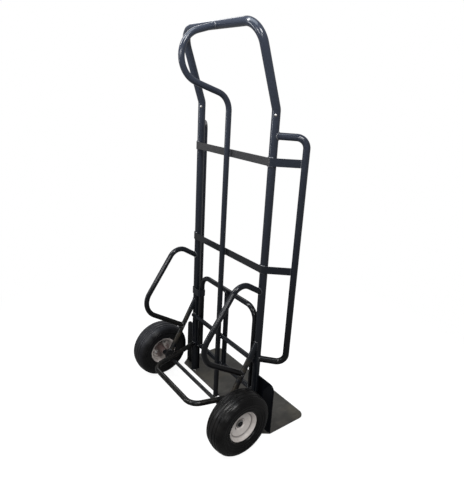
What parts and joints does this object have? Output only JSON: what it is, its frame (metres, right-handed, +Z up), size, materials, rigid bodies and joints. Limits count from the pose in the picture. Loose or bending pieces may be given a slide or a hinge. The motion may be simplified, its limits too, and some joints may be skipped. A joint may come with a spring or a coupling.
{
  "type": "hand truck",
  "caption": "Upright two-wheeled hand truck with a loop handle, rear D-grip, load wings, rear skid loops, a fold-down nose frame and a toe plate.",
  "frame": {"origin": "middle of the base on the floor: centred between the wheels and between the toe plate's front edge and the tyres' rearmost points", "axes": "+X to the operator's right, +Y forward over the toe plate, +Z up along the side rails"},
  "size_m": [0.7092, 0.492, 1.5433],
  "materials": {
    "enamel": "gloss",
    "toe_enamel": "matte",
    "steel": "zinc plated",
    "rim_enamel": "satin",
    "rubber": "semi-matte"
  },
  "bodies": {
    "frame": {"left_rail": "enamel", "right_rail": "enamel", "handle_loop": "enamel", "left_handle_rivet": "steel", "right_handle_rivet": "steel", "centre_tube": "enamel", "upper_strap": "enamel", "lower_strap": "enamel", "left_wing": "enamel", "right_wing": "enamel", "lower_cross_tube": "enamel", "left_rear_loop": "enamel", "right_rear_loop": "enamel", "left_axle_strut": "enamel", "right_axle_strut": "enamel", "left_axle_lug": "enamel", "right_axle_lug": "enamel", "axle": "enamel", "step_loop": "enamel", "toe_plate": "toe_enamel", "left_toe_bracket": "enamel", "right_toe_bracket": "enamel", "left_nose_lug": "enamel", "right_nose_lug": "enamel", "left_nose_pin": "steel", "right_nose_pin": "steel", "nose_catch": "enamel", "left_axle_spacer": "enamel", "right_axle_spacer": "enamel", "left_washer": "steel", "right_washer": "steel", "left_retaining_ring": "steel", "right_retaining_ring": "steel"},
    "left_wheel": {"left_tyre": "rubber", "left_outer_rim": "rim_enamel", "left_inner_rim": "rim_enamel", "left_hub": "rim_enamel", "left_outer_bearing": "steel", "left_inner_bearing": "steel", "left_valve_stem": "rubber", "left_rim_bolt_1": "steel", "left_rim_bolt_2": "steel", "left_rim_bolt_3": "steel", "left_rim_bolt_4": "steel"},
    "right_wheel": {"right_tyre": "rubber", "right_outer_rim": "rim_enamel", "right_inner_rim": "rim_enamel", "right_hub": "rim_enamel", "right_outer_bearing": "steel", "right_inner_bearing": "steel", "right_valve_stem": "rubber", "right_rim_bolt_1": "steel", "right_rim_bolt_2": "steel", "right_rim_bolt_3": "steel", "right_rim_bolt_4": "steel"},
    "nose": {"nose_loop": "enamel", "nose_centre_bar": "enamel", "nose_hinge_bar": "enamel"}
  },
  "joints": [
    {"name": "left_wheel_spin", "type": "hinge", "parent": "frame", "child": "left_wheel", "pos_m": [-0.3076, -0.1175, 0.1285], "axis": [1, 0, 0], "continuous": true},
    {"name": "right_wheel_spin", "type": "hinge", "parent": "frame", "child": "right_wheel", "pos_m": [0.3076, -0.1175, 0.1285], "axis": [1, 0, 0], "continuous": true},
    {"name": "nose_fold", "type": "hinge", "parent": "frame", "child": "nose", "pos_m": [0, 0.0344, 0.15], "axis": [-1, 0, 0], "range_deg": [0, 112]}
  ]
}
